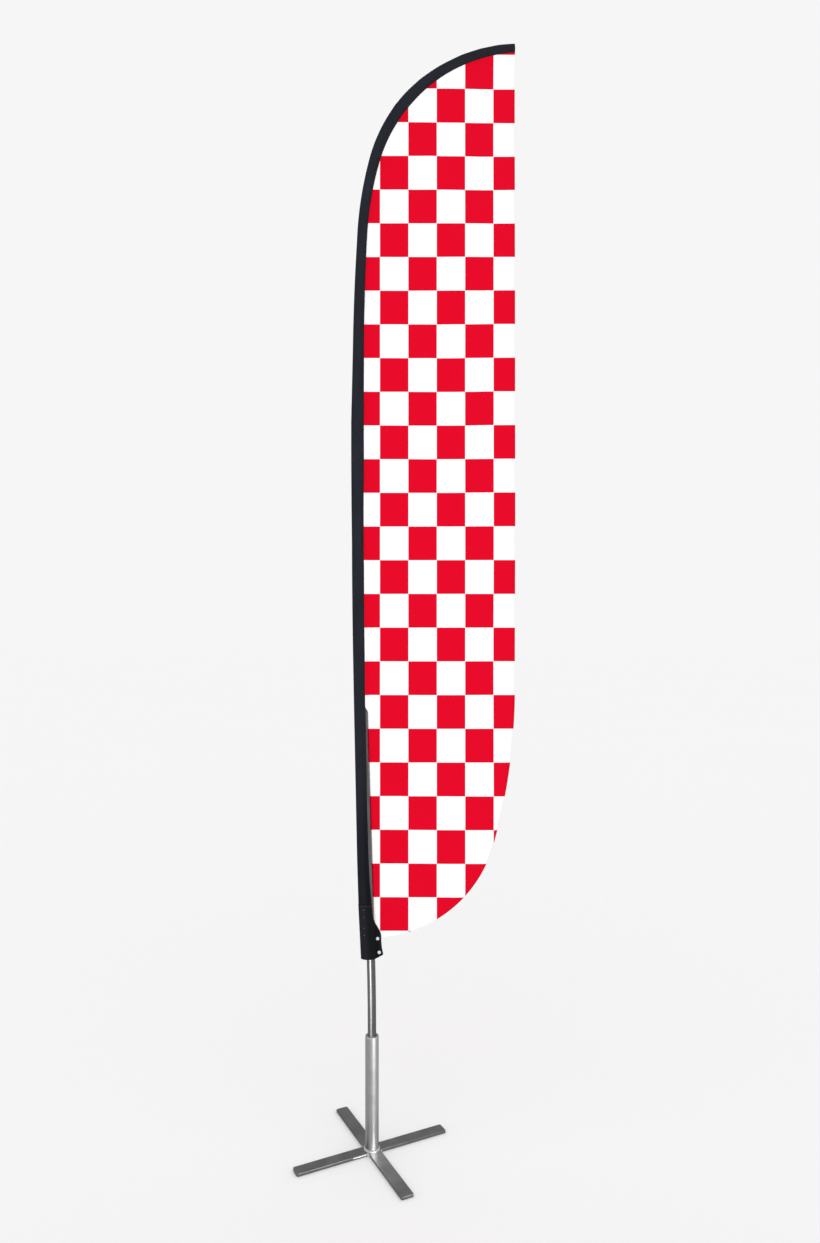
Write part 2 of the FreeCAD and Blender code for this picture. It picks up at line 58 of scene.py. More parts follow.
# The sleeve's section at places along the centreline: reach to the left, to the right, and depth
OVALS = [(0.700, 0.0370, 0.0215, 0.0390), (0.912, 0.0410, 0.0215, 0.0390), (1.080, 0.0410, 0.0215, 0.0390),
         (1.680, 0.0350, 0.0215, 0.0385), (2.280, 0.0275, 0.0215, 0.0380), (2.730, 0.0275, 0.0215, 0.0370),
         (3.000, 0.0220, 0.0215, 0.0350), (3.400, 0.0175, 0.0200, 0.0280), (3.640, 0.0185, 0.0200, 0.0270),
         (3.980, 0.0215, 0.0215, 0.0270), (4.200, 0.0170, 0.0205, 0.0240),
         (PATH_LENGTH, 0.0150, 0.0170, 0.0200)]

# Where the black front layer ends, to the flag's side of the centreline
SEAM = [(1.650, 0.0080), (1.830, 0.0120), (2.130, 0.0165), (2.580, 0.0208), (3.400, 0.0202), (3.640, 0.0202),
        (3.880, 0.0230), (3.980, 0.0232), (4.133, 0.0212), (4.325, 0.0198), (PATH_LENGTH, 0.0168)]
FLAP_EDGE = [(0.707, 0.0240), (0.719, 0.0470), (0.742, 0.0425), (0.767, 0.0410), (0.795, 0.0410),
             (0.810, 0.0360), (0.825, 0.0280), (0.846, 0.0155), (0.872, 0.0120), (0.912, 0.0095),
             (1.000, 0.0047), (1.076, 0.0036), (1.302, 0.0042), (1.453, 0.0060), (1.603, 0.0078),
             (1.650, 0.0080)]
CUFF_BOTTOM = 0.707
CUFF_TOP = 0.912
SLIT_TOP = 1.650
SEW_START = 0.850
POLE_RADIUS = 0.016
SLEEVE_CLOTH = 0.0009
SLEEVE_END = PATH_LENGTH - 0.0015
SLEEVE_START = CUFF_TOP - 0.006 # the sleeve's layers begin inside the cuff
STRIP_GAP = 0.010               # between the sleeve's rows, along the pole
STRIP_COLUMNS = 24
WRAPPED_COLUMNS = 28
SEAM_LAP = 0.0015               # how far the back layer passes the oval's right end
SEWN_LEVEL = 0.0010             # a sewn layer runs level at least this far from the middle plane
FREE_LIFT = 0.0014              # and a free one this much further
SLIT_EASE = (-0.10, 0.04)       # where it changes from free to sewn, about the slit's top
FOLD_WRAP = 0.26                # how far the back layer goes round the left fold, in radians
WRAP_TUCK = 0.0020              # and how far inside the front layer it lies there
WRAP_EASE = 0.12                # over this turn, in radians
SWING_END = 1.120               # above this place the front layer belongs with the flag; the script only works out a point here and splits nothing

# The cuff's two panels
CUFF_THICKNESS = 0.0013
CUFF_PROUD = 0.0006             # how far outside the sleeve's oval it lies
CUFF_FRONT_LEVEL = 0.0024
CUFF_BACK_LEVEL = 0.0018
CUFF_BACK_REACH = 0.0165        # the back panel's least reach, just past the pole
CUFF_COLUMNS = 26
CUFF_GAP = 0.0035
CUFF_STITCH = (0.0036, 0.0027, 0.0004)  # gap, length and radius
TAB_RUN = (0.722, 0.800, 0.004)         # the tab's stitches: from, to and step
TAB_INSET = 0.0035

# The flag's outline
FLAG_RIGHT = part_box("flag_panel")[1].x
FLAG_STRAIGHT_END = 1.745
SIDE_ARC = (2.170, 15.9)
FOOT_ARC = (0.478, 66.0)
FOOT_CORNER = (0.028, 0.8065)
HEM = 0.012
FLAG_THICKNESS = 0.0006
FLAG_END = PATH_LENGTH - 0.002
FLAG_COLUMNS = 72
FLAG_CROWDING = 1.7             # columns are closer together towards the sewn edge

# The printed checks: size of one check, and the corner that they are counted from
CHECK = (0.107, 0.127)
CHECK_ORIGIN = (0.0302, 4.131)
RED = (0.742, 0.0008, 0.0190, 1.0)
WHITE = (0.990, 0.990, 0.990, 1.0)

# The black cloth's painted shade, by place up the pole and run across the cloth
LOW_SHADE = (1.12, 1.45, 0.66)  # from, to, and the share of its colour that it keeps at the bottom: painted shade, darker towards the bottom
FOLD_RUN = (0.030, 0.046)       # painted shade in the fold beside the slit, between these runs
FOLD_SHADE = (1.0, 1.6, 0.55)   # from, to, and how much of its colour it loses at the bottom


# ---------------------------------------------------------------- centreline

def step(x, z, heading, length, turn):
    middle = math.radians(heading + turn / 2.0)
    half = math.radians(abs(turn)) / 2.0
    chord = length * math.sin(half) / half if half else length
    return x + math.sin(middle) * chord, z + math.cos(middle) * chord, heading + turn


def station(place):
    """x, z and heading in degrees of the centreline at a length from the pole's foot."""
    x, z, heading, left = 0.0, FOOT_Z, 0.0, place
    for length, turn in PATH:
        if left <= length:
            return step(x, z, heading, left, turn * left / length)
        x, z, heading = step(x, z, heading, length, turn)
        left -= length
    ahead = math.radians(heading)
    return x + math.sin(ahead) * left, z + math.cos(ahead) * left, heading


def beside(place, across, back=0.0):
    """A point to the flag's side of the centreline, and behind it."""
    x, z, heading = station(place)
    turn = math.radians(heading)
    return Vector((x + math.cos(turn) * across, back, z - math.sin(turn) * across))


def place_at(z, across):
    """The place whose point, so far beside the centreline, is at a height."""
    place = z - FOOT_Z
    for _ in range(6):
        place += z - beside(place, across).z
    return place


def smooth(value, low, high):
    """0 below low, 1 above high, and an even curve between."""
    share = min(1.0, max(0.0, (value - low) / (high - low)))
    return share * share * (3.0 - 2.0 * share)


def from_table(table, place):
    """The values of a table of (place, values...) at a place, on straight lines between its rows."""
    place = min(max(place, table[0][0]), table[-1][0])
    for low, high in zip(table, table[1:]):
        if place <= high[0]:
            break
    share = (place - low[0]) / (high[0] - low[0])
    return [a + (b - a) * share for a, b in zip(low[1:], high[1:])]


def eased(table, place, width=0.012):
    """One value of a table, averaged over a short run so that its corners are rounded."""
    spots = (-1.0, -0.5, 0.0, 0.5, 1.0)
    return sum(from_table(table, place + width * spot)[0] for spot in spots) / len(spots)


def oval(place):
    """The middle, half width and half depth of the sleeve's section."""
    left, right, depth = from_table(OVALS, place)
    inset = SLEEVE_CLOTH / 2.0
    return (right - left) / 2.0, (right + left) / 2.0 - inset, depth / 2.0 - inset


def oval_depth(place, across):
    """How far in front of the centreline the sleeve's cloth is."""
    middle, half, deep = oval(place)
    share = (across - middle) / half
    return deep * math.sqrt(max(0.0, 1.0 - share * share))


# ---------------------------------------------------------------- meshes

def new_object(name, vertices, faces, material, uvs=None):
    mesh = bpy.data.meshes.new(name)
    mesh.from_pydata([tuple(v) for v in vertices], [], faces)
    mesh.validate()
    for polygon in mesh.polygons:
        polygon.use_smooth = True
    if uvs is not None:
        layer = mesh.uv_layers.new(name="cloth")
        for loop in mesh.loops:
            layer.data[loop.index].uv = uvs[loop.vertex_index]
    obj = bpy.data.objects.new(name, mesh)
    bpy.context.scene.collection.objects.link(obj)
    mesh.materials.append(material)
    return obj


def grid_faces(rows, columns, closed=False):
    faces = []
    for i in range(rows - 1):
        for j in range(columns if closed else columns - 1):
            k = (j + 1) % columns
            faces.append((i * columns + j, i * columns + k, (i + 1) * columns + k, (i + 1) * columns + j))
    return faces


def thicken(obj, thickness):
    """Gives a surface its thickness, half to each side."""
    modifier = obj.modifiers.new("thickness", "SOLIDIFY")
    modifier.thickness = thickness
    modifier.offset = 0.0


# ---------------------------------------------------------------- material kit

class Nodes:
    """A short way to build a node material: add() makes a node, and sets inputs by name."""

    def __init__(self, name):
        self.material = bpy.data.materials.new(name)
        self.material.use_nodes = True
        self.tree = self.material.node_tree
        self.shader = self.tree.nodes["Principled BSDF"]

    def add(self, kind, **settings):
        node = self.tree.nodes.new("ShaderNode" + kind)
        for key, value in settings.items():
            if hasattr(node, key) and key not in node.inputs:
                setattr(node, key, value)
            else:
                self.set(node, key, value)
        return node

    def set(self, node, key, value):
        if isinstance(value, bpy.types.NodeSocket):
            self.tree.links.new(value, node.inputs[key])
        else:
            node.inputs[key].default_value = value

    def surface(self, **settings):
        for key, value in settings.items():
            self.set(self.shader, key.replace("_", " "), value)

    def math(self, operation, first, second=None):
        node = self.tree.nodes.new("ShaderNodeMath")
        node.operation = operation
        self.set(node, 0, first)
        if second is not None:
            self.set(node, 1, second)
        return node.outputs[0]

    def mix(self, share, first, second):
        node = self.tree.nodes.new("ShaderNodeMix")
        node.data_type = "RGBA"
        self.set(node, 0, share)
        self.set(node, 6, first)
        self.set(node, 7, second)
        return node.outputs[2]

    def scale(self, colour, factor):
        node = self.tree.nodes.new("ShaderNodeVectorMath")
        node.operation = "SCALE"
        self.set(node, 0, colour)
        self.set(node, "Scale", factor)
        return node.outputs[0]

    def ramp(self, value, low, high, dark, light):
        """A value or grey that runs from dark to light as the input runs from low to high."""
        node = self.tree.nodes.new("ShaderNodeMapRange")
        for index, number in enumerate((value, low, high, dark, light)):
            self.set(node, index, number)
        return node.outputs[0]

    def bump(self, height, strength, distance, normal=None):
        node = self.tree.nodes.new("ShaderNodeBump")
        self.set(node, "Strength", strength)
        self.set(node, "Distance", distance)
        self.set(node, "Height", height)
        if normal is not None:
            self.set(node, "Normal", normal)
        return node.outputs[0]

    def coordinates(self, kind="Object"):
        return self.tree.nodes.new("ShaderNodeTexCoord").outputs[kind]

    def scaled(self, vector, scale, location=(0, 0, 0)):
        node = self.tree.nodes.new("ShaderNodeMapping")
        self.set(node, "Vector", vector)
        self.set(node, "Scale", scale)
        self.set(node, "Location", location)
        return node.outputs[0]

    def noise(self, vector, scale, detail=3.0, roughness=0.55):
        node = self.tree.nodes.new("ShaderNodeTexNoise")
        self.set(node, "Vector", vector)
        self.set(node, "Scale", scale)
        self.set(node, "Detail", detail)
        self.set(node, "Roughness", roughness)
        return node.outputs["Fac"]


def weave(kit, uv, threads, strength):
    """A plain weave's bump: two sets of threads that go over and under."""
    across = kit.add("TexWave", Vector=uv, Scale=threads, bands_direction="X", Distortion=0.4)
    along = kit.add("TexWave", Vector=uv, Scale=threads, bands_direction="Y", Distortion=0.4)
    height = kit.math("MAXIMUM", across.outputs["Fac"], along.outputs["Fac"])
    return kit.bump(height, strength, 0.0004)


def flag_cloth():
    kit = Nodes("flag_cloth")
    uv = kit.coordinates("UV")
    cells = kit.scaled(uv, (1.0 / CHECK[0], 1.0 / CHECK[1], 1.0), (0.0, 0.0, 0.5))
    checks = kit.add("TexChecker", Vector=cells, Color1=WHITE, Color2=RED, Scale=1.0)
    tone = kit.noise(kit.scaled(uv, (3.0, 1.2, 1.0)), 2.0)
    threads = kit.noise(kit.scaled(uv, (900.0, 60.0, 1.0)), 1.0, 2.0)
    shade = kit.math("MULTIPLY", kit.ramp(tone, 0.25, 0.75, 0.985, 1.0),
                     kit.ramp(threads, 0.3, 0.7, 0.985, 1.0))
    fine = kit.noise(uv, 900.0, 2.0)
    kit.surface(Base_Color=kit.scale(checks.outputs["Color"], shade),
                Roughness=kit.ramp(fine, 0.3, 0.7, 0.70, 0.86),
                Normal=weave(kit, uv, 180.0, 0.10), Sheen_Weight=0.01, Specular_IOR_Level=0.05)
    return kit.material


def black_cloth(name, colour, threads):
    kit = Nodes(name)
    uv = kit.coordinates("UV")
    tone = kit.noise(kit.scaled(uv, (6.0, 2.0, 1.0)), 3.0, 4.0)
    worn = kit.mix(kit.ramp(tone, 0.3, 0.7, 0.0, 1.0), [c * 0.85 for c in colour] + [1.0],
                   [c * 1.20 for c in colour] + [1.0])
    place = kit.add("SeparateXYZ", Vector=uv).outputs["Y"]
    run = kit.add("SeparateXYZ", Vector=uv).outputs["X"]
    # painted shade: the cloth is darker towards the bottom, and in the fold beside the slit where it curves
    # away from the light
    fold = kit.ramp(run, *FOLD_RUN, 0.0, 1.0)
    fold_painted_shade = kit.math("MULTIPLY", fold, kit.ramp(place, *FOLD_SHADE, 0.0))
    shade = kit.math("MULTIPLY", kit.ramp(place, *LOW_SHADE, 1.0), kit.math("SUBTRACT", 1.0, fold_painted_shade))
    fine = kit.noise(uv, 1200.0, 2.0)
    kit.surface(Base_Color=kit.scale(worn, shade), Roughness=kit.ramp(fine, 0.3, 0.7, 0.66, 0.84),
                Normal=weave(kit, uv, threads, 0.25), Sheen_Weight=0.01, Sheen_Roughness=0.4,
                Specular_IOR_Level=0.12)
    return kit.material


def thread(name, colour):
    kit = Nodes(name)
    position = kit.coordinates()
    twist = kit.add("TexWave", Vector=position, Scale=400.0, bands_direction="DIAGONAL")
    kit.surface(Base_Color=kit.mix(twist.outputs["Fac"], [c * 0.8 for c in colour[:3]] + [1.0], colour),
                Roughness=0.6, Normal=kit.bump(twist.outputs["Fac"], 0.3, 0.0003))
    return kit.material


def metal(name, dark, light, roughness, metallic=1.0, streak=(1, 1, 60), grain=0.06, scale=14.0,
          painted_reflection_at=None, painted_upright_shade=1.0):
    """Worked metal: long fine scratches, cloudy tone and uneven gloss.

    A given centre gets a lighter patch round it, a painted reflection; upright faces keep a given share of
    the colour, painted shade on the sides.
    """
    kit = Nodes(name)
    position = kit.coordinates()
    cloud = kit.noise(position, scale, 5.0)
    lines = kit.noise(kit.scaled(position, [1400.0 / s for s in streak]), 1.0, 3.0)
    colour = kit.mix(kit.ramp(cloud, 0.35, 0.65, 0.0, 1.0), dark, light)
    # painted reflection: a lighter patch round a given centre, standing in for the tube mirrored in the
    # steel
    if painted_reflection_at:
        away = kit.add("VectorMath", operation="DISTANCE")
        kit.set(away, 0, position)
        kit.set(away, 1, painted_reflection_at)
        colour = kit.scale(colour, kit.ramp(away.outputs["Value"], 0.020, 0.170, 1.55, 1.0))
    # painted shade: upright faces keep only a share of the colour, so the bars' sides look darker
    if painted_upright_shade < 1.0:
        upward = kit.add("SeparateXYZ", Vector=kit.coordinates("Normal")).outputs["Z"]
        colour = kit.scale(colour, kit.ramp(upward, 0.3, 0.8, painted_upright_shade, 1.0))
    gloss = kit.math("ADD", kit.ramp(cloud, 0.3, 0.7, roughness - 0.04, roughness + 0.05),
                     kit.ramp(lines, 0.3, 0.7, -0.03, 0.04))
    kit.surface(Base_Color=colour, Metallic=metallic, Roughness=gloss,
                Normal=kit.bump(lines, grain, 0.0004))
    return kit.material


def plastic(name, colour, roughness):
    kit = Nodes(name)
    position = kit.coordinates()
    grain = kit.noise(position, 900.0, 3.0)
    cloud = kit.noise(position, 25.0, 3.0)
    kit.surface(Base_Color=kit.mix(cloud, [c * 0.8 for c in colour] + [1.0], list(colour) + [1.0]),
                Roughness=kit.ramp(grain, 0.3, 0.7, roughness - 0.06, roughness + 0.06),
                Normal=kit.bump(grain, 0.15, 0.0003))
    return kit.material


def grey(level):
    return (level, level, level * 1.01, 1.0)


FLAG_CLOTH = flag_cloth()
BLACK_THREAD = thread("black_thread", (0.020, 0.022, 0.030, 1.0))
GREY_THREAD = thread("grey_thread", (0.115, 0.118, 0.125, 1.0))


# ---------------------------------------------------------------- flag panel

def free_edge(z):
    """How far right the flag reaches at a height."""
    if z >= FLAG_STRAIGHT_END:
        return FLAG_RIGHT
    radius, turn = SIDE_ARC
    start = math.radians(turn)
    drop = FLAG_STRAIGHT_END - z
    side_drop = radius * math.sin(start)
    if drop <= side_drop:
        return FLAG_RIGHT - radius + math.sqrt(radius * radius - drop * drop)
    small, foot_turn = FOOT_ARC
    angle = math.asin(min(1.0, math.sin(start) + (drop - side_drop) / small))
    angle = min(angle, start + math.radians(foot_turn))
    return FLAG_RIGHT - radius * (1.0 - math.cos(start)) - small * (math.cos(start) - math.cos(angle))


def foot_heights():
    """Heights of the flag's lowest rows, closer together where its foot lies flat."""
    start, turn = [math.radians(value) for value in (SIDE_ARC[1], FOOT_ARC[1])]
    top = FLAG_STRAIGHT_END - SIDE_ARC[0] * math.sin(start)
    heights = [FOOT_CORNER[1]]
    count = 34
    for index in range(count, 0, -1):
        angle = start + turn * index / count
        heights.append(top - FOOT_ARC[0] * (math.sin(angle) - math.sin(start)))
    return heights


def flag_edge(place):
    """The sewn edge: u and y. It goes round from the pole's side to its front above the slit."""
    front = SLIT_TOP + 0.006
    if place > front + 0.010:
        across = eased(SEAM, place)
        return across, -oval_depth(place, across)
    share = smooth(place, front - 0.030, front)
    seam = from_table(SEAM, place)[0]
    turn = math.radians(92.0) * (1.0 - share) + math.asin(seam / (POLE_RADIUS + 0.0016)) * share
    reach = POLE_RADIUS + 0.0010 + 0.0012 * share
    return reach * math.sin(turn), -reach * math.cos(turn)


def sewn_line():
    """Points along the upper sewn edge, from where the crook begins to the tip."""
    start = 3.30
    count = 80
    line = []
    for index in range(count + 1):
        place = start + (FLAG_END - start) * index / count
        point = beside(place, from_table(SEAM, place)[0])
        line.append((point.x, point.z))
    return line


SEWN_LINE = sewn_line()


def sewn_distance(x, z):
    """How far a point of the flag is from the upper sewn edge."""
    return min(math.hypot(x - a, z - b) for a, b in SEWN_LINE)


def ripple(x, z):
    """The flag's soft waves: still at the sleeve, largest towards the free edge's lower half."""
    if z > SEWN_LINE[0][1]:
        return plain_ripple(x, z) * smooth(sewn_distance(x, z), 0.008, 0.16)
    return plain_ripple(x, z)


def plain_ripple(x, z):
    reach = smooth(x, 0.0, 0.50)
    down = 0.35 + 0.65 * smooth(4.2 - z, 0.0, 2.4)
    wave = math.sin(x * 4.6 - z * 1.9 + 0.6) * 0.011 + math.sin(x * 2.6 + z * 3.1) * 0.006
    drift = noise.noise(Vector((x * 3.4, z * 1.6, 3.1))) * 0.012
    pull = noise.noise(Vector((x * 9.0 - z * 2.2, z * 5.0 + x * 6.0, 7.7))) * 0.0022
    return (wave + drift) * reach * down + pull * smooth(x, 0.0, 0.10)


def pucker(place, along):
    """Small gathers beside the sewn seam, which fade into the flag."""
    near = math.exp(-along / 0.020)
    value = noise.noise(Vector((place * 38.0, 0.4, 1.7))) * 0.0016
    return value * near * smooth(along, 0.0, 0.004)


def flag_row(place, z=None):
    """One row of the panel's points, from the sewn edge to the free edge."""
    across, y = flag_edge(place)
    start = beside(place, across)
    if z is not None and place < SEW_START:
        foot, sewn = Vector(FOOT_CORNER), beside(SEW_START, across)
        share = (z - foot.y) / (sewn.z - foot.y)
        start = Vector((foot.x + (sewn.x - foot.x) * share, 0.0, z))
        y = 0.0
    right = max(free_edge(start.z), start.x + 0.002)
    lean = math.cos(math.radians(station(place)[2]))
    reach = from_table(OVALS, place)[1]
    front = smooth(place, SLIT_TOP - 0.030, SLIT_TOP + 0.010)
    row = []
    for j in range(FLAG_COLUMNS):
        along = (right - start.x) * (j / (FLAG_COLUMNS - 1.0)) ** FLAG_CROWDING
        u = across + along * lean
        over = -oval_depth(place, u) if u < reach else 0.0
        near_edge = y * max(0.0, 1.0 - along / 0.010)
        depth = over * front + near_edge * (1.0 - front)
        x = start.x + along
        clear = 0.060 * smooth(u, reach + 0.002, reach + 0.060) - 0.0006
        y_soft = min(depth + ripple(x, start.z) + pucker(place, along), clear)
        row.append(Vector((x, y_soft, start.z)))
    return row


def flag_rows():
    rows = []
    heights = foot_heights()
    for z in heights:
        rows.append(flag_row(place_at(z, POLE_RADIUS), z))
    place = place_at(heights[-1], POLE_RADIUS)
    while place < FLAG_END:
        lean = math.cos(math.radians(station(place)[2]))
        near_slit = abs(place - SLIT_TOP) < 0.06
        gap = 0.004 if near_slit else min(0.020, 0.011 / max(lean, 0.05))
        place = min(FLAG_END, place + gap)
        rows.append(flag_row(place))
    return rows


def check_uvs(points):
    """Where the printed checks fall at points of the panel."""
    return [(p.x - CHECK_ORIGIN[0], p.z - CHECK_ORIGIN[1]) for p in points]


def make_flag(rows):
    points = [point for row in rows for point in row]
    flag = new_object("checked_flag", points, grid_faces(len(rows), FLAG_COLUMNS), FLAG_CLOTH,
                      check_uvs(points))
    thicken(flag, FLAG_THICKNESS)
    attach(flag, "flag")
    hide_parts("flag_panel")
    return flag


def free_outline(rows):
    """The free edge's points and the direction in the cloth away from it."""
    outline = [(row[-1], (row[-4] - row[-1]).normalized()) for row in rows[1:]]
    edge = []
    for index, (point, inward) in enumerate(outline):
        ahead = outline[min(index + 1, len(outline) - 1)][0]
        behind = outline[max(index - 1, 0)][0]
        along = (ahead - behind).normalized()
        square = (inward - along * inward.dot(along)).normalized()
        edge.append((point, square))
    return edge


def make_hem(rows):
    """The folded hem behind the free edge, with a soft rolled edge. Its profile runs (inward, back)."""
    profile = [(0.0000, 0.0003), (-0.0008, 0.0010), (0.0000, 0.0018), (0.0060, 0.0014), (HEM, 0.0013),
               (HEM + 0.0004, 0.0005)]
    outline = free_outline(rows)
    points = [point + square * inward + Vector((0.0, back, 0.0))
              for point, square in outline for inward, back in profile]
    hem = new_object("flag_hem", points, grid_faces(len(outline), len(profile)), FLAG_CLOTH,
                     check_uvs(points))
    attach(hem, "flag")
    return hem


# ---------------------------------------------------------------- stitches

def stitch_run(line, gap, length, radius, bury=0.0002):
    """Short threads along a line of (point, outward) pairs, as vertices and faces."""
    vertices, faces = [], []
    walked, nearest = 0.0, 0.0
    for (first, outward), (last, _) in zip(line, line[1:]):
        span = (last - first).length
        while nearest < walked + span and span > 0.0:
            along = (last - first) / span
            side = along.cross(outward).normalized()
            centre = first + along * (nearest - walked) + outward * (radius - bury)
            base = len(vertices)
            for reach, swell in ((-0.5, 0.35), (-0.25, 1.0), (0.25, 1.0), (0.5, 0.35)):
                for corner in range(5):
                    turn = corner * math.tau / 5.0
                    spoke = side * math.cos(turn) + outward * math.sin(turn)
                    vertices.append(centre + along * (length * reach) + spoke * (radius * swell))
            for ring in range(3):
                for corner in range(5):
                    after = (corner + 1) % 5
                    low, high = base + ring * 5, base + ring * 5 + 5
                    faces.append((low + corner, low + after, high + after, high + corner))
            faces.append(tuple(base + corner for corner in range(4, -1, -1)))
            faces.append(tuple(base + 15 + corner for corner in range(5)))
            nearest += gap
        walked += span
    return vertices, faces


def make_stitches(name, lines, material, body, slot, gap=0.0042, length=0.0030, radius=0.0005):
    vertices, faces = [], []
    for line in lines:
        new_vertices, new_faces = stitch_run(line, gap, length, radius)
        base = len(vertices)
        vertices += new_vertices
        faces += [tuple(base + index for index in face) for face in new_faces]
    threads = new_object(name, vertices, faces, material, check_uvs(vertices))
    if body:
        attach(threads, body)
    return threads


# ---------------------------------------------------------------- sleeve and cuff

def wrinkle(place, run, seed):
    """Shallow creases across the sleeve: faint at the cuff, stronger in the crook."""
    bent = smooth(place, 3.3, 3.8)
    still = 0.25 + 0.75 * smooth(place, 0.95, 1.25)
    broad = noise.noise(Vector((run * 12.0, place * (7.0 + 15.0 * bent), seed)))
    fine = noise.noise(Vector((run * 28.0, place * 36.0, seed + 5.0)))
    return (broad * (0.0011 + 0.0008 * bent) + fine * (0.0004 + 0.0006 * bent)) * still


def layer(place, edge, flat, sign, count, proud=0.0, wrap=0.0):
    """One layer's section from the left fold to its edge, as (u, y) points.

    The cloth follows the oval; where the oval comes nearer to the middle than flat, it runs level.
    With wrap it starts that far round the fold, tucked inside the other layer.
    """
    middle, half, deep = oval(place)
    level = math.sqrt(max(0.0, 1.0 - (flat / deep) ** 2))
    turn_end = math.acos(max(-level, min(1.0, (middle - edge) / half)))
    if edge > middle + half * level:
        turn_end = math.pi - math.asin(flat / deep)
    section = []
    for index in range(count):
        turn = (turn_end + wrap) * index / (count - 1.0) - wrap
        out = proud - WRAP_TUCK * smooth(-turn, 0.0, WRAP_EASE)
        section.append((middle - (half + out) * math.cos(turn), sign * (deep + out) * math.sin(turn)))
    last_u, last_y = section[-1]
    for index in range(1, 7):
        share = index / 6.0
        section.append((last_u + max(0.0, edge - last_u) * share + 1e-5 * index, last_y))
    return section


def cloth_strip(name, places, section_at, material, seed, push=1.0):
    """A strip of cloth along the pole; section_at(place) gives its (u, y) points."""
    points, uvs, columns = [], [], 0
    for place in places:
        section = section_at(place)
        columns = len(section)
        middle = oval(place)[0]
        run = 0.0
        for index, (u, y) in enumerate(section):
            if index:
                run += math.dist(section[index], section[index - 1])
            size = math.hypot(u - middle, y) or 1.0
            out = wrinkle(place, run, seed) * push * smooth(abs(y), 0.002, 0.006)
            points.append(beside(place, u + out * (u - middle) / size, y + out * y / size))
            uvs.append((run, place))
    return new_object(name, points, grid_faces(len(places), columns), material, uvs)


def spaced(start, end, gap):
    count = max(2, int(round((end - start) / gap)) + 1)
    return [start + (end - start) * i / (count - 1.0) for i in range(count)]


def back_section(place):
    right = from_table(OVALS, place)[1]
    return layer(place, right + SEAM_LAP, SEWN_LEVEL, 1.0, WRAPPED_COLUMNS, wrap=FOLD_WRAP)


def front_edge(place):
    """The front layer's right edge: free beside the slit, sewn to the flag above it."""
    return eased(FLAP_EDGE, place) if place < SLIT_TOP else eased(SEAM, place)


def front_section(place):
    open_share = 1.0 - smooth(place, SLIT_TOP + SLIT_EASE[0], SLIT_TOP + SLIT_EASE[1])
    return layer(place, front_edge(place), SEWN_LEVEL + FREE_LIFT * open_share, -1.0, STRIP_COLUMNS)


def cuff_edge(place):
    """The cuff's flared edge, in straight runs with crisp corners."""
    return from_table(FLAP_EDGE, place)[0]


def cuff_front_section(place):
    return layer(place, cuff_edge(place), CUFF_FRONT_LEVEL, -1.0, CUFF_COLUMNS, CUFF_PROUD)


def cuff_back_section(place):
    edge = max(cuff_edge(place), CUFF_BACK_REACH)
    return layer(place, edge, CUFF_BACK_LEVEL, 1.0, CUFF_COLUMNS, CUFF_PROUD)


def make_sleeve():
    places = spaced(SLEEVE_START, SLEEVE_END, STRIP_GAP)
    back = cloth_strip("sleeve_back", places, back_section, SLEEVE_CLOTH_LOOK, 2.0)
    front = cloth_strip("sleeve_front", places, front_section, SLEEVE_CLOTH_LOOK, 2.0)
    for piece in (back, front):
        thicken(piece, SLEEVE_CLOTH)
    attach(back, "flag")
    tuple(beside(CUFF_TOP, 0.0))
    tuple(beside(SWING_END, 0.0))
    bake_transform(front)
    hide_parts("pole_sleeve")
    return back, front


def make_cuff():
    """The doubled cuff: a front that swings with the flap, and a back with its tab."""
    places = spaced(CUFF_BOTTOM, CUFF_TOP, CUFF_GAP)
    front = cloth_strip("cuff_front", places, cuff_front_section, CUFF_CLOTH, 4.0, 0.6)
    back = cloth_strip("cuff_back_panel", places, cuff_back_section, CUFF_CLOTH, 4.0, 0.6)
    for piece, body, node in ((front, "cuff_flap", "cuff_flap"), (back, "flag", "cuff_back")):
        thicken(piece, CUFF_THICKNESS)
        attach(piece, body)
        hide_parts(node)
    return front, back


def make_sleeve_end():
    """The patch that closes the sleeve's tip, slightly bulged by the pocket inside."""
    middle, half, deep = oval(SLEEVE_END)
    around = 40
    vertices, faces, uvs = [], [], []
    for size, bulge in ((1.0, 0.0), (0.94, 0.0012), (0.70, 0.0016), (0.40, 0.0019), (0.10, 0.0020)):
        for index in range(around):
            turn = math.tau * index / around
            u = middle + half * size * math.cos(turn)
            y = deep * size * math.sin(turn)
            vertices.append(beside(SLEEVE_END + bulge * 0.7, u, y))
            uvs.append((u, y))
    for ring in range(4):
        for index in range(around):
            after = (index + 1) % around
            low, high = ring * around, ring * around + around
            faces.append((low + index, low + after, high + after, high + index))
    faces.append(tuple(range(4 * around, 5 * around)))
    patch = new_object("sleeve_end_patch", vertices, faces, SLEEVE_CLOTH_LOOK, uvs)
    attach(patch, "flag")


def on_front(place, across, lift=0.0007):
    """A point on the front layer, and the direction out of the cloth there."""
    middle, half, deep = oval(place)
    share = max(-0.999, min(0.999, (across - middle) / half))
    depth = deep * math.sqrt(1.0 - share * share)
    x, z, heading = station(place)
    turn = math.radians(heading)
    side = Vector((math.cos(turn), 0.0, -math.sin(turn)))
    forward = Vector((0.0, -math.sqrt(1.0 - share * share) / deep, 0.0))
    outward = (side * (share / half) + forward).normalized()
    return beside(place, across, -depth) + outward * lift, outward


def on_tab(place, across, y):
    return beside(place, across, y), Vector((0.0, -1.0 if y < 0.0 else 1.0, 0.0))


def seam_line(inset, start, end):
    line = []
    for place in spaced(start, end, 0.010):
        across = min(eased(SEAM, place), from_table(OVALS, place)[1] - 0.0008) - inset
        line.append(on_front(place, across))
    return line


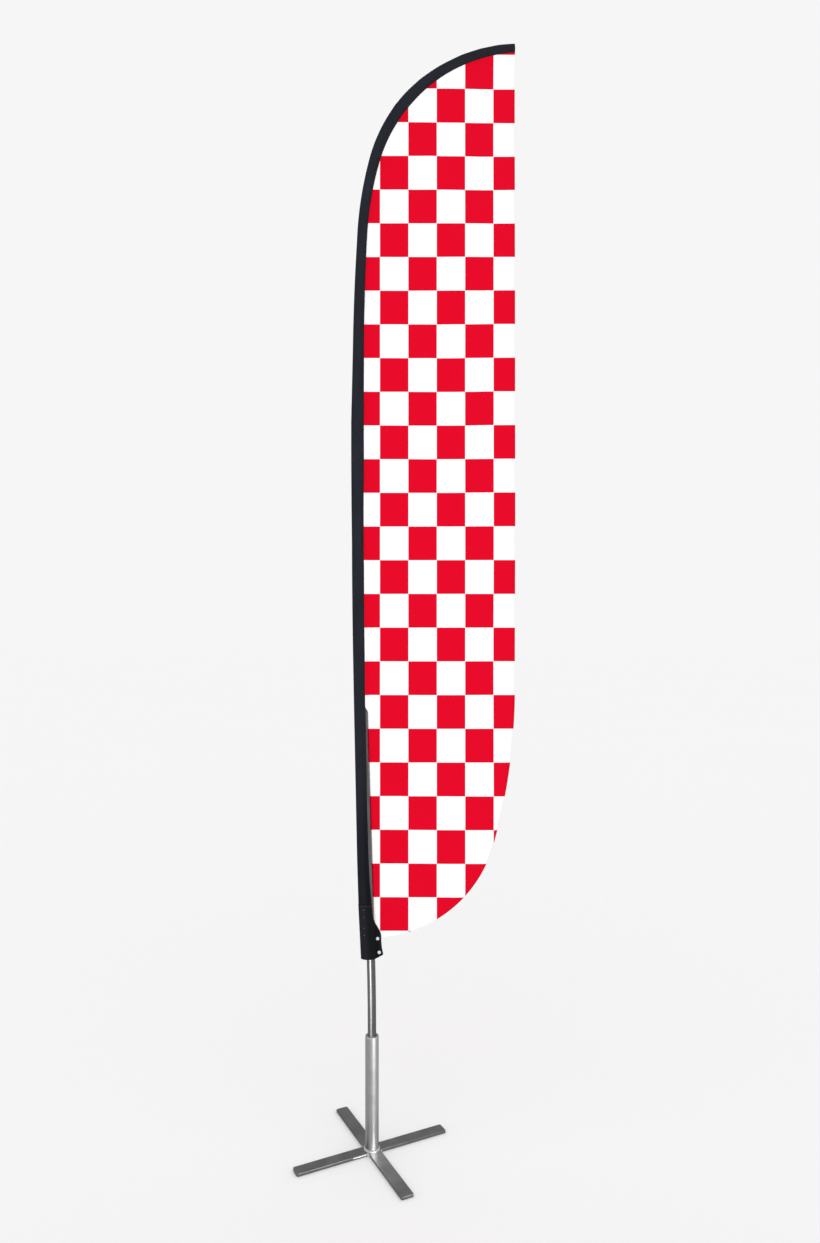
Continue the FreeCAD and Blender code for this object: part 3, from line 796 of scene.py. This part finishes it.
def sew(rows):
    """All the visible lines of stitching."""
    end = PATH_LENGTH - 0.006
    seams = [seam_line(inset, SLIT_TOP + 0.004, end) for inset in (0.0030, 0.0078)]
    make_stitches("seam_stitches", seams, BLACK_THREAD, "flag", "sleeve_fabric")
    front = Vector((0.0, -1.0, 0.0))
    hem_front = [(p + q * (HEM - 0.002) - Vector((0, 0.0003, 0)), front) for p, q in free_outline(rows)]
    hem_back = [(p + Vector((0, 0.0017, 0)), -front) for p, _ in hem_front]
    make_stitches("hem_stitches", [hem_front, hem_back], FLAG_CLOTH, "flag", "flag_fabric",
                  0.0045, 0.0032, 0.0003)
    top = [on_front(CUFF_TOP - 0.004, u, 0.0016) for u in spaced(-0.036, 0.008, 0.002)]
    tab = [on_tab(place, cuff_edge(place) - TAB_INSET, -0.0031) for place in spaced(*TAB_RUN)]
    make_stitches("cuff_stitches", [top, tab], GREY_THREAD, "cuff_flap", "cuff_fabric", *CUFF_STITCH)
    tab_back = [on_tab(place, cuff_edge(place) - TAB_INSET, 0.0025) for place in spaced(*TAB_RUN)]
    make_stitches("cuff_back_stitches", [tab_back], GREY_THREAD, "flag", "cuff_fabric", *CUFF_STITCH)
    slit_places = spaced(CUFF_TOP + 0.004, SLIT_TOP - 0.004, 0.010)
    slit = [on_front(place, eased(FLAP_EDGE, place) - 0.0055) for place in slit_places]
    threads = make_stitches("slit_stitches", [slit], BLACK_THREAD, None, "sleeve_fabric")
    tuple(beside(CUFF_TOP, 0.0))
    tuple(beside(SWING_END, 0.0))
    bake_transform(threads)


SLEEVE_CLOTH_LOOK = black_cloth("sleeve_cloth", (0.0150, 0.0172, 0.0245), 260.0)
CUFF_CLOTH = black_cloth("cuff_cloth", (0.0200, 0.0225, 0.0275), 200.0)

cloth_rows = flag_rows()
flag = make_flag(cloth_rows)
hem = make_hem(cloth_rows)
sleeve_back, sleeve_front = make_sleeve()
cuff_front, cuff_back = make_cuff()
make_sleeve_end()
sew(cloth_rows)


# ---------------------------------------------------------------- CAD nodes' materials

def dress(material, *nodes):
    for node in nodes:
        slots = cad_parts[node].data.materials
        slots.clear()
        slots.append(material)


# painted shade on the upright sides of the base's bars
BASE_STEEL = metal("base_steel", grey(0.50), grey(0.64), 0.38, streak=(1, 1, 1), grain=0.05,
                   painted_upright_shade=0.42)
# the cross bar's near arm has a painted reflection of the tube beside the socket
CROSS_STEEL = metal("cross_steel", grey(0.50), grey(0.62), 0.38, streak=(1, 1, 1), grain=0.05,
                    painted_reflection_at=(0.034, -0.062, 0.010), painted_upright_shade=0.42)
TUBE_STEEL = metal("tube_steel", grey(0.48), grey(0.55), 0.44, grain=0.004)
POLE_METAL = metal("pole_metal", grey(0.19), grey(0.22), 0.34, grain=0.003)
WELD_METAL = metal("weld_metal", grey(0.78), grey(0.96), 0.24, metallic=0.6, streak=(1, 1, 1), grain=0.4,
                   scale=90.0)
COLLAR_METAL = metal("collar_metal", grey(0.48), grey(0.56), 0.34, metallic=0.6, grain=0.01)
SNAP_METAL = metal("snap_metal", grey(0.88), grey(0.96), 0.15, metallic=0.45, streak=(1, 1, 1),
                   grain=0.02)
RIVET_METAL = metal("rivet_metal", grey(0.16), grey(0.24), 0.35, streak=(1, 1, 1), grain=0.05)
NYLON = plastic("nylon", (0.34, 0.34, 0.35), 0.5)
RUBBER = plastic("rubber", (0.03, 0.03, 0.03), 0.8)
FIBREGLASS = plastic("fibreglass", (0.06, 0.06, 0.07), 0.35)

dress(CROSS_STEEL, "cross_bar")
dress(BASE_STEEL, "left_arm", "right_arm")
dress(TUBE_STEEL, "socket_tube")
dress(COLLAR_METAL, "socket_collar", "middle_stop_collar", "tip_stop_collar", "tip_ferrule", "thrust_washer")
dress(POLE_METAL, "lower_pole_tube", "middle_pole_tube")
dress(WELD_METAL, "cross_welds", "seam_weld_bead", "socket_foot_weld")
dress(SNAP_METAL, "snap_caps", "snap_sockets", "snap_studs", "snap_posts")
dress(RIVET_METAL, "cuff_rivets")
dress(NYLON, "upper_bushing", "swivel_cup", "pole_foot_plug")
dress(RUBBER, "tip_cap")
dress(FIBREGLASS, "tip_rod")
dress(CUFF_CLOTH, "tip_pocket")


# ---------------------------------------------------------------- floor, light and camera

STUDIO_LEVEL = 0.922            # how bright the empty studio looks
WORLD_IN_METAL = 0.20           # what metal sees of the studio above the floor
FLOOR_IN_METAL = 0.58           # and of the floor


def glossy_switch(tree, plain, in_metal):
    """One colour for what the camera and matt surfaces see, and a darker one for reflections."""
    path = tree.nodes.new("ShaderNodeLightPath")
    mix = tree.nodes.new("ShaderNodeMix")
    mix.data_type = "RGBA"
    tree.links.new(path.outputs["Is Glossy Ray"], mix.inputs[0])
    if isinstance(plain, bpy.types.NodeSocket):
        tree.links.new(plain, mix.inputs[6])
    else:
        mix.inputs[6].default_value = (plain, plain, plain, 1.0)
    mix.inputs[7].default_value = (in_metal, in_metal, in_metal, 1.0)
    return mix.outputs[2]


def make_floor():
    size = 60.0
    kit = Nodes("pale_floor")
    cloud = kit.noise(kit.coordinates(), 0.4, 2.0)
    plain = kit.mix(cloud, (0.990, 0.990, 0.990, 1.0), (0.999, 0.999, 0.999, 1.0))
    kit.surface(Base_Color=glossy_switch(kit.tree, plain, FLOOR_IN_METAL), Roughness=0.9,
                Specular_IOR_Level=0.0)
    drop = -0.0005
    corners = [(-size, -size, drop), (size, -size, drop), (size, size, drop), (-size, size, drop)]
    floor = new_object("floor", corners, [(0, 1, 2, 3)], kit.material)


def area_light(name, place, target, size, power, lit=None, reflected_only=False):
    """A rectangular light; lit names the only pieces that it reaches."""
    light = bpy.data.lights.new(name, "AREA")
    light.shape = "RECTANGLE"
    light.size, light.size_y = size
    light.energy = power
    obj = bpy.data.objects.new(name, light)
    obj.location = place
    aim = Vector(target) - Vector(place)
    obj.rotation_euler = aim.to_track_quat("-Z", "Y").to_euler()
    obj.visible_camera = False
    obj.visible_diffuse = not reflected_only
    bpy.context.scene.collection.objects.link(obj)
    if lit:
        receivers = bpy.data.collections.new(name + "_receivers")
        for piece in lit:
            receivers.objects.link(piece)
        obj.light_linking.receiver_collection = receivers


def make_world():
    """An even pale studio; reflections see it darker, so that metal keeps its edges."""
    world = bpy.data.worlds.new("studio")
    bpy.context.scene.world = world
    world.use_nodes = True
    tree = world.node_tree
    colour = glossy_switch(tree, STUDIO_LEVEL, WORLD_IN_METAL)
    tree.links.new(colour, tree.nodes["Background"].inputs["Color"])


def make_lights():
    pieces = [obj for obj in bpy.context.scene.objects if obj.type == "MESH" and obj.name != "floor"]
    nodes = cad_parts
    poles = [nodes["lower_pole_tube"], nodes["middle_pole_tube"]]
    steel = [nodes[name] for name in ("socket_tube", "socket_collar", "socket_foot_weld", "cross_bar",
                                      "left_arm", "right_arm", "cross_welds", "seam_weld_bead")]
    area_light("front_softbox", (0.2, -5.0, 2.6), (0.1, 0.0, 2.1), (3.0, 4.0), 62.0, pieces)
    area_light("tube_strip", (0.68, -1.00, 0.26), (0.0, 0.0, 0.2), (0.34, 1.2), 17.0, steel, True)
    area_light("pole_strip", (-0.42, -1.20, 0.40), (0.0, 0.0, 0.6), (0.24, 1.4), 26.0, poles, True)


def make_camera():
    camera = bpy.data.cameras.new("camera")
    camera.lens = 25.2
    camera.sensor_width = 36.0
    obj = bpy.data.objects.new("camera", camera)
    obj.location = (0.1433, -3.28, 1.995)
    obj.rotation_euler = (math.radians(90.0), 0.0, 0.0)
    bpy.context.scene.collection.objects.link(obj)
    bpy.context.scene.camera = obj


make_floor()
make_world()
make_lights()
make_camera()
bpy.context.scene.view_settings.view_transform = "Standard"
